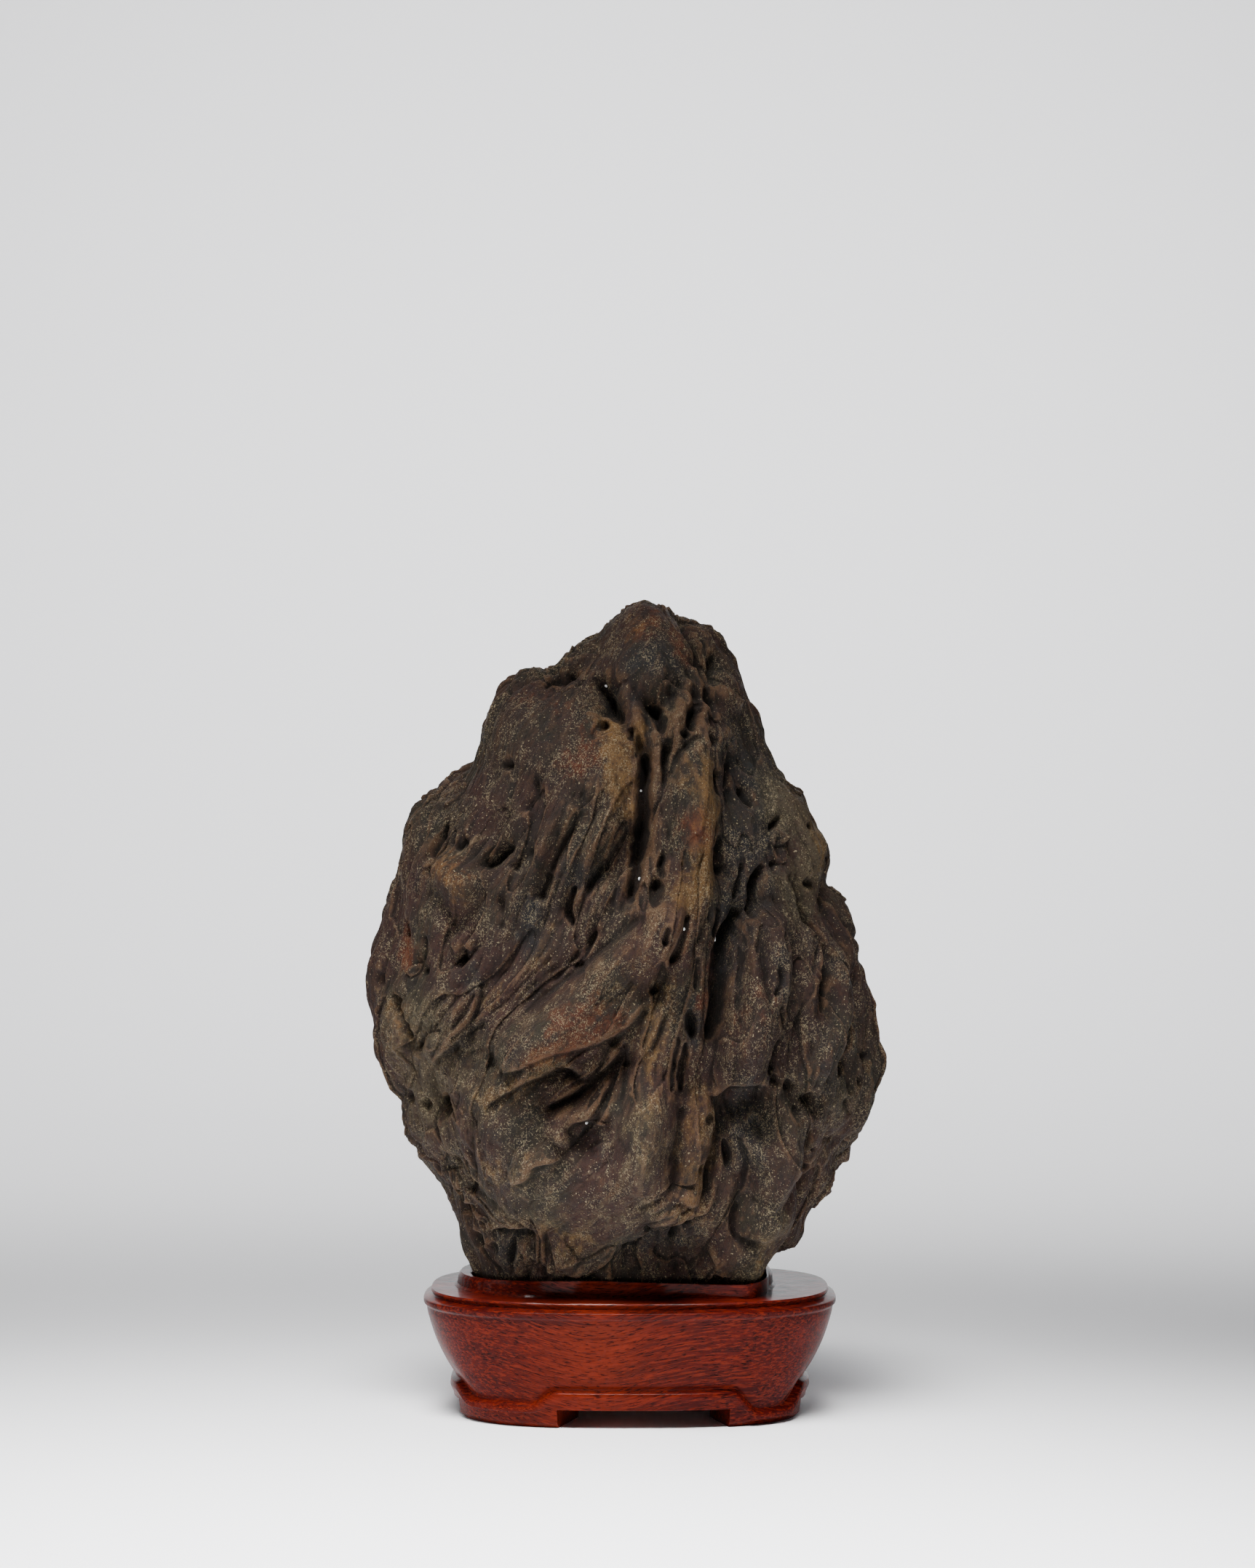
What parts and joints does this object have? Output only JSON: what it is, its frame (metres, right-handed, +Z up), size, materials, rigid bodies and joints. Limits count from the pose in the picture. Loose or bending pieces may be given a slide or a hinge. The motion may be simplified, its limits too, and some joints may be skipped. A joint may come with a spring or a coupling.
{
  "type": "scholar's rock on a carved stand",
  "caption": "Upright water-worn stone with folds, clefts and pits, resting in the fitted seat of a low carved hardwood stand.",
  "frame": {"origin": "middle of the whole thing seen from above, on the surface that the stand's feet rest on", "axes": "+Z up, the front of the stone facing -Y, +X to the viewer's right"},
  "size_m": [0.2577, 0.1682, 0.4003],
  "materials": {
    "stone": "matte, waxed by handling",
    "rosewood": "satin varnish"
  },
  "bodies": {
    "root": {"rock": "stone", "stand": "rosewood"}
  },
  "joints": []
}
